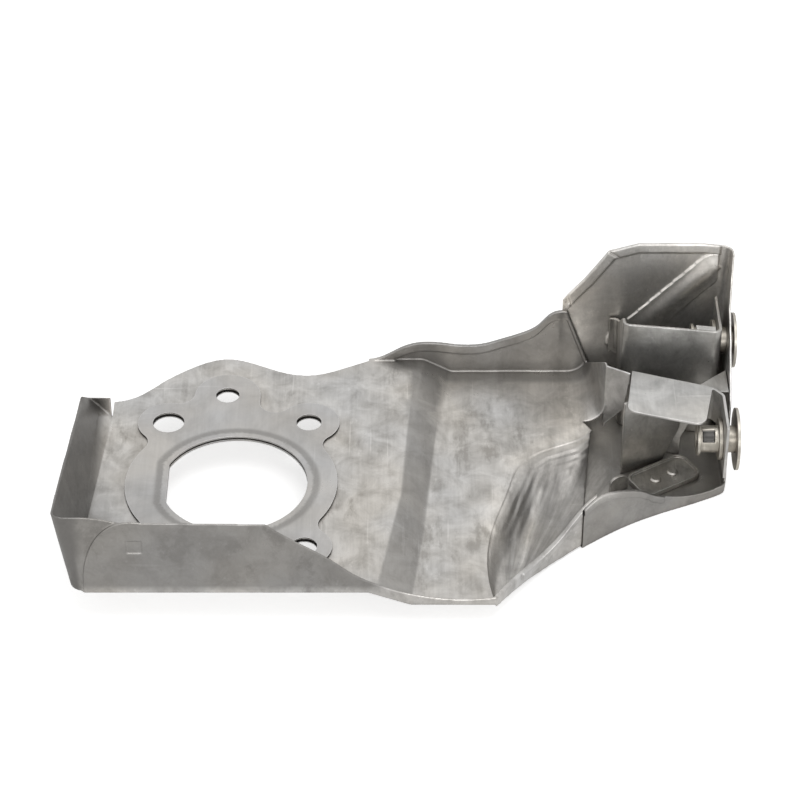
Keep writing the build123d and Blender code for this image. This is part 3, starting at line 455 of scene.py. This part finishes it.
def build_edge_highlight_and_corner_shade():
    """Painted highlight along edges, where the bevelled and the true normal differ, and painted shade in
    corners.
    """
    tree, source, sink = group(
        "edge_highlight_and_corner_shade",
        [("Color", "NodeSocketColor", None),
         ("Bright", "NodeSocketColor", (0.8, 0.8, 0.8, 1)),
         ("Amount", "NodeSocketFloat", 0.6)],
        [("Color", "NodeSocketColor")],
    )
    round_edge = tree.nodes.new("ShaderNodeBevel")
    round_edge.samples = 4
    round_edge.inputs["Radius"].default_value = HIGHLIGHT_EDGE_RADIUS
    true = tree.nodes.new("ShaderNodeNewGeometry")
    dot = tree.nodes.new("ShaderNodeVectorMath")
    dot.operation = "DOT_PRODUCT"
    tree.links.new(round_edge.outputs[0], dot.inputs[0])
    tree.links.new(true.outputs["Normal"], dot.inputs[1])
    edge_highlight = ramp(tree, dot.outputs["Value"], low=0.97, high=0.80)
    share = maths(tree, "MULTIPLY", edge_highlight, source.outputs["Amount"], clamp=True)
    highlighted = blend(tree, share, source.outputs["Color"], source.outputs["Bright"])
    # Painted shade in corners, where ambient occlusion finds them closed in
    corner = tree.nodes.new("ShaderNodeAmbientOcclusion")
    corner.samples = 4
    corner.inputs["Distance"].default_value = CORNER_SHADE_REACH
    open_share = ramp(tree, corner.outputs["AO"], low=0.15, high=0.80)
    corner_shade = blend(tree, open_share, CORNER_SHADE_GREY, WHITE[:3])
    tree.links.new(blend(tree, 1.0, highlighted, corner_shade, "MULTIPLY"), sink.inputs["Color"])
    return tree


def steel(name, dark, light, cloud_scale=45.0, scuffs=0.3, stains=0.5, edge_highlight=0.6, with_streaks_and_painted_shade=False):
    """A steel finish built from the shared groups with its own values."""
    paint = bpy.data.materials.new(name)
    paint.use_nodes = True
    tree = paint.node_tree
    shader = tree.nodes["Principled BSDF"]
    finish = tree.nodes.new("ShaderNodeGroup")
    finish.node_tree = MILL
    finish.inputs["Dark"].default_value = (*dark, 1.0)
    finish.inputs["Light"].default_value = (*light, 1.0)
    finish.inputs["Cloud Scale"].default_value = cloud_scale
    finish.inputs["Scuffs"].default_value = scuffs
    finish.inputs["Stains"].default_value = stains
    # Painted highlight on the edges and painted shade in the corners
    highlight_and_shade_node = tree.nodes.new("ShaderNodeGroup")
    highlight_and_shade_node.node_tree = EDGES
    highlight_and_shade_node.inputs["Amount"].default_value = edge_highlight
    # Drawing streaks, painted shade and painted highlight on the sheet
    if with_streaks_and_painted_shade:
        streaks = tree.nodes.new("ShaderNodeGroup")
        streaks.node_tree = TONE
        wire(tree, finish, "Color", streaks, "Color")
        wire(tree, streaks, "Color", highlight_and_shade_node, "Color")
    else:
        wire(tree, finish, "Color", highlight_and_shade_node, "Color")
    wire(tree, highlight_and_shade_node, "Color", shader, "Base Color")
    wire(tree, finish, "Roughness", shader, "Roughness")
    shader.inputs["Metallic"].default_value = METAL
    relief = tree.nodes.new("ShaderNodeBump")
    relief.inputs["Strength"].default_value = RELIEF_STRENGTH
    relief.inputs["Distance"].default_value = RELIEF_DEPTH
    wire(tree, finish, "Height", relief, "Height")
    wire(tree, relief, "Normal", shader, "Normal")
    return paint


def inside(outline, points):
    """True for each point whose plan place is inside an outline, both in millimetres."""
    x, y = points[:, 0], points[:, 1]
    found = numpy.zeros(len(points), bool)
    for (ax, ay), (bx, by) in zip(outline, outline[1:] + outline[:1]):
        crosses = (ay > y) != (by > y)
        rise = by - ay if by != ay else 1.0
        found ^= crosses & (x < (bx - ax) * (y - ay) / rise + ax)
    return found


def distance(line, points, closed=False):
    """Plan distance from each point to a line of points, in millimetres."""
    ends = line[1:] + line[:1] if closed else line[1:]
    nearest = numpy.full(len(points), 1e9)
    for start, end in zip(line, ends):
        a = numpy.array(start)
        run = numpy.array(end) - a
        off = points[:, :2] - a
        share = numpy.clip(off @ run / (run @ run), 0.0, 1.0)
        nearest = numpy.minimum(nearest, numpy.linalg.norm(off - share[:, None] * run, axis=1))
    return nearest


def soft_inside(outline, points, fade):
    """One deep inside an outline, falling to zero at its edge."""
    depth = numpy.clip(distance(outline, points, closed=True) / fade, 0.0, 1.0)
    return numpy.where(inside(outline, points), depth * depth * (3.0 - 2.0 * depth), 0.0)


def ripple(points, length, seed):
    """Uneven waves about as long as the given length, and seldom beyond -1 and 1."""
    chance = numpy.random.default_rng(seed)
    total = numpy.zeros(len(points))
    for _ in range(RIPPLE_WAVES):
        way = chance.normal(size=3)
        way *= 2.0 * math.pi / (length * chance.uniform(0.7, 1.6) * numpy.linalg.norm(way))
        total += numpy.sin(points @ way + chance.uniform(0.0, 2.0 * math.pi))
    return total / math.sqrt(RIPPLE_WAVES) / 2.0


def uneven(points, length, seed):
    """The same waves, mostly between 0 and 1."""
    return 0.5 + 0.5 * ripple(points, length, seed)


def fan_angle(points):
    """Direction of each point from the corner that the slope's wrinkles run out of, in radians."""
    return numpy.arctan2(points[:, 1] - FAN_CENTRE[1], points[:, 0] - FAN_CENTRE[0])


def wrinkle(points):
    """Height of the drawn slope's fan of wrinkles, in millimetres."""
    angle = fan_angle(points)
    reach = numpy.hypot(points[:, 0] - FAN_CENTRE[0], points[:, 1] - FAN_CENTRE[1])
    height = numpy.zeros(len(points))
    for count, size, turn in WRINKLES:
        height += size * numpy.sin(count * angle + turn + 0.5 * numpy.sin(reach / WRINKLE_SWAY + turn))
    beside = distance(CREASE, points)
    ridges = RIDGE_HEIGHT * numpy.sin(2.0 * math.pi * beside / RIDGE_PITCH)
    ridges *= numpy.exp(-beside / RIDGE_SPREAD)
    return height * numpy.clip(reach / WRINKLE_REACH, 0.2, 1.2) + ridges


def form_panel(points, normals):
    """Wrinkles on the slope, waves in the shelf, and an uneven rolled hem and flanges."""
    slope = soft_inside(SLOPE, points, 6.0)
    move = numpy.zeros_like(points)
    move[:, 2] += slope * wrinkle(points)
    crease = numpy.exp(-(distance(CREASE, points) / CREASE_WIDTH) ** 2)
    move[:, 2] -= CREASE_DEPTH * crease * (points[:, 2] < CREASE_TOP_Z)
    beyond_gasket = numpy.clip((points[:, 0] - SHELF_X) / 8.0, 0.0, 1.0)
    move[:, 2] += SHELF_WAVES * beyond_gasket * ripple(points, 34.0, 3)
    hem = (points[:, 1] > HEM_Y) & (points[:, 0] > HEM_X[0]) & (points[:, 0] < HEM_X[1])
    move[:, 1] -= HEM_WAVES * hem * uneven(points, 11.0, 5)
    front = (points[:, 1] < FRONT_FLANGE_Y) & (points[:, 2] > FRONT_FLANGE_Z)
    move[:, 1] += FRONT_WAVES * front * uneven(points, 40.0, 8)
    end = points[:, 0] < END_FLANGE_X
    move[:, 0] += END_WAVES * end * uneven(points, 30.0, 9)
    return move


def form_shell(points, normals):
    """A slightly uneven back panel, with a soft diagonal bead."""
    move = numpy.zeros_like(points)
    beside = distance(BEAD_LINE, points[:, [0, 2]])
    swell = BEAD_HEIGHT * numpy.cos(0.5 * math.pi * numpy.clip(beside / BEAD_HALF_WIDTH, 0.0, 1.0)) ** 2
    on_panel = (points[:, 1] > BEAD_BACK_Y) & (points[:, 0] < BEAD_RIGHT_X) & (beside < BEAD_HALF_WIDTH)
    skin = numpy.where(normals[:, 1] > 0.0, PANEL_BACK_Y, PANEL_FRONT_Y)
    move[:, 1] += numpy.where(on_panel, skin - swell - points[:, 1], 0.0)
    back = numpy.clip((points[:, 1] - 70.0) / 4.0, 0.0, 1.0)
    move[:, 1] -= BACK_WAVES * back * uneven(points, 22.0, 12)
    top = back * numpy.clip((points[:, 2] - 40.0) / 10.0, 0.0, 1.0)
    move[:, 2] -= TOP_WAVES * top * uneven(points, 9.0, 14)
    return move


def form_flat(points, normals):
    """Barely uneven, as a flat pressed part is."""
    return normals * (FLAT_WAVES * ripple(points, 12.0, 21) - FLAT_WAVES)[:, None]


def step(value, low, high):
    """Zero below low, one above high, and smooth between them."""
    share = numpy.clip((value - low) / (high - low), 0.0, 1.0)
    return share * share * (3.0 - 2.0 * share)


def panel_painted_shade(points):
    """How much painted shade darkens the panel on its upright faces, the joggle and the slope, less the
    painted highlight beside the crease and along a line on the slope.
    """
    x, y, z = points.T
    front = step(-y, 56.5, 58.5) * step(z, 0.6, 3.0)
    end = step(-x, 50.5, 54.5)
    back = step(y, 68.0, 72.0) * step(x, 52.0, 58.0)
    # Painted shade where less light falls: the upright faces, the joggle band and the slope
    shaded = numpy.maximum.reduce([
        FRONT_PAINTED_SHADE * front,
        END_PAINTED_SHADE * end,
        BACK_PAINTED_SHADE * back,
        JOGGLE_PAINTED_SHADE * soft_inside(JOGGLE_BAND, points, 1.0),
        SLOPE_PAINTED_SHADE * soft_inside(SLOPE, points, 7.0),
    ])
    slope = inside(SLOPE, points)
    beside = (distance(CREASE, points) - 3.5) / 3.0
    # Painted highlight on the shelf beside the crease, and along a line on the slope
    crease_highlight = CREASE_PAINTED_HIGHLIGHT * numpy.exp(-beside ** 2) * ~slope * step(x, 84.0, 92.0) * (z < -3.0)
    slope_highlight = SLOPE_PAINTED_HIGHLIGHT * numpy.exp(-(distance(SLOPE_HIGHLIGHT_LINE, points) / 1.6) ** 2) * slope
    return shaded - crease_highlight - slope_highlight


def shell_painted_shade(points):
    """Painted shade on the shell: darker low down, on the lip and in the box, and on the slope."""
    low = BOX_PAINTED_SHADE * step(-points[:, 2], -10.0, -1.0)
    return numpy.maximum(low, SLOPE_PAINTED_SHADE * soft_inside(SLOPE, points, 7.0))


def gasket_painted_shade(points):
    """Painted shade on the step of the half bead."""
    x, y, _ = points.T
    away = numpy.maximum(numpy.hypot(x, y) - OUTLET_R, OUTLET_FLAT_X - x)
    bead = step(away, BEAD_START - 0.4, BEAD_START) * step(-away, -BEAD_END, -BEAD_END + 1.6)
    return BEAD_PAINTED_SHADE * bead


def no_painted_shade(points):
    """No painted shade: one even tone."""
    return numpy.zeros(len(points))


def window(points):
    """One in the sleeve's window, zero round it."""
    across = points[:, 1] - SLEEVE_AXIS[0]
    up = points[:, 2] - SLEEVE_AXIS[1]
    radius = numpy.hypot(across, up)
    facing = (across * WINDOW_WAY[0] + up * WINDOW_WAY[1]) / numpy.maximum(radius, 0.1)
    start, end = WINDOW_X
    along = step(points[:, 0], start, start + 0.3) * step(-points[:, 0], -end, -end + 0.3)
    return along * step(facing, 0.86, 0.90) * step(radius, 3.7, 4.0)


def form_sleeve(points, normals):
    """The sleeve with its window pressed in."""
    return -normals * (WINDOW_DEPTH * window(points))[:, None]


def sleeve_painted_shade(points):
    """Painted shade inside the pressed-in window."""
    return WINDOW_PAINTED_SHADE * window(points)


def closed_copy(node):
    """The solid's mesh with its doubles merged, as a new object."""
    mesh = nodes[node].data.copy()
    mesh.materials.clear()
    form = bmesh.new()
    form.from_mesh(mesh)
    bmesh.ops.remove_doubles(form, verts=form.verts, dist=DOUBLES_APART)
    form.to_mesh(mesh)
    form.free()
    piece = bpy.data.objects.new(node + "_finished", mesh)
    bpy.context.scene.collection.objects.link(piece)
    return piece


def settle(piece):
    """Turns a piece's modifiers into plain mesh."""
    result = bpy.data.meshes.new_from_object(piece.evaluated_get(bpy.context.evaluated_depsgraph_get()))
    piece.modifiers.clear()
    piece.data = result
    return result


def pressed(node, grain, softness, triangles, form):
    """A finely meshed piece with rounded folds and edges, pushed into its uneven form."""
    piece = closed_copy(node)
    fine = piece.modifiers.new("fine", "REMESH")
    fine.mode = "VOXEL"
    fine.voxel_size = grain * MM
    rounded = piece.modifiers.new("rounded", "SMOOTH")
    rounded.factor = 0.5
    rounded.iterations = softness
    mesh = settle(piece)
    normals = numpy.empty(len(mesh.vertices) * 3, numpy.float32)
    mesh.vertices.foreach_get("normal", normals)
    points = places(mesh)
    points += form(points, normals.reshape(-1, 3))
    points = numpy.clip(points, numpy.array(cad_low) / MM, numpy.array(cad_high) / MM)
    mesh.vertices.foreach_set("co", (points * MM).ravel())
    mesh.update()
    # The fine mesh is squares, of two triangles each
    fewer = piece.modifiers.new("fewer", "DECIMATE")
    fewer.ratio = min(1.0, triangles / (2.0 * len(mesh.polygons)))
    mesh = settle(piece)
    mesh.polygons.foreach_set("use_smooth", [True] * len(mesh.polygons))
    mark(mesh, "fan", lambda at: soft_inside(SLOPE, at, 5.0))
    # Painted shade, and painted highlight where below zero, of each piece, kept on its points
    mark(mesh, "stains_and_painted_shade", PAINTED_SHADE_OF.get(node, no_painted_shade))
    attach(piece, "root")
    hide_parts(node)
    piece.data.materials.append(FINISHES[node])
    return piece


def places(mesh):
    """The place of each point of a mesh, in millimetres."""
    found = numpy.empty(len(mesh.vertices) * 3, numpy.float32)
    mesh.vertices.foreach_get("co", found)
    return found.reshape(-1, 3).astype(float) / MM


def mark(mesh, name, share):
    """Stores a value on each point, for the finish to read."""
    layer = mesh.attributes.new(name, "FLOAT", "POINT")
    layer.data.foreach_set("value", share(places(mesh)).astype(numpy.float32))


# Painted shade and painted highlight for each piece
PAINTED_SHADE_OF = {
    "shield_panel": panel_painted_shade,
    "end_shell": shell_painted_shade,
    "gasket_upper_layer": gasket_painted_shade,
    "gasket_lower_layer": gasket_painted_shade,
    "front_sleeve": sleeve_painted_shade,
}

MILL = build_mill_finish()
EDGES = build_edge_highlight_and_corner_shade()
TONE = build_sheet_tone()

shield_steel = steel("shield_steel", (0.35, 0.34, 0.325), (0.60, 0.59, 0.575),
                     cloud_scale=95.0, stains=0.85, with_streaks_and_painted_shade=True)
shell_steel = steel("shell_steel", (0.46, 0.45, 0.43), (0.80, 0.785, 0.76),
                    cloud_scale=75.0, stains=0.4, edge_highlight=0.4, with_streaks_and_painted_shade=True)
gasket_steel = steel("gasket_steel", (0.38, 0.375, 0.37), (0.52, 0.515, 0.51),
                     scuffs=0.15, stains=0.2, with_streaks_and_painted_shade=True)
# Painted shade: the rear bracket and the small plates get a darker copy of the same steel, for the shade
# they sit in
bracket_steel = steel("bracket_steel", (0.26, 0.255, 0.24), (0.50, 0.49, 0.47), cloud_scale=80.0)
light_steel = steel("light_steel", (0.38, 0.375, 0.365), (0.62, 0.615, 0.60), cloud_scale=80.0)
plated_steel = steel("plated_steel", (0.34, 0.32, 0.28), (0.62, 0.59, 0.53),
                     cloud_scale=120.0, stains=0.2, with_streaks_and_painted_shade=True)

FINISHES = {
    "shield_panel": shield_steel,
    "end_shell": shell_steel,
    "gasket_upper_layer": gasket_steel,
    "gasket_lower_layer": gasket_steel,
    "rear_bracket": bracket_steel,
    "front_bracket": light_steel,
    "support_plate": bracket_steel,
    "gusset": bracket_steel,
    "locating_tab": light_steel,
    "corner_tab": bracket_steel,
    "doubler_plate": bracket_steel,
    "doubler_rivets": bracket_steel,
    "front_sleeve": plated_steel,
    "rear_sleeve": plated_steel,
    "front_washer": plated_steel,
    "rear_washer": plated_steel,
}

# Grain of the fine mesh in millimetres, rounds of softening, triangles and form of each piece.
# A form takes the points and their normals, and gives how far each point moves.
MESHES = {
    "shield_panel": (0.32, 5, 190000, form_panel),
    "end_shell": (0.30, 5, 130000, form_shell),
    "gasket_upper_layer": (0.16, 2, 120000, form_flat),
    "gasket_lower_layer": (0.16, 2, 60000, form_flat),
    "rear_bracket": (0.25, 4, 50000, form_flat),
    "front_bracket": (0.25, 4, 50000, form_flat),
    "support_plate": (0.25, 4, 20000, form_flat),
    "gusset": (0.2, 3, 8000, form_flat),
    "locating_tab": (0.15, 3, 8000, form_flat),
    "corner_tab": (0.15, 3, 12000, form_flat),
    "doubler_plate": (0.2, 3, 30000, form_flat),
    "doubler_rivets": (0.1, 2, 12000, form_flat),
    "front_sleeve": (0.14, 2, 60000, form_sleeve),
    "rear_sleeve": (0.14, 2, 40000, form_flat),
    "front_washer": (0.14, 2, 20000, form_flat),
    "rear_washer": (0.14, 2, 20000, form_flat),
}
for node, recipe in MESHES.items():
    pressed(node, *recipe)

add_camera()
add_floor()
set_world()
for lamp in LAMPS:
    add_lamp(*lamp)

view = bpy.context.scene.view_settings
view.view_transform = "Standard"
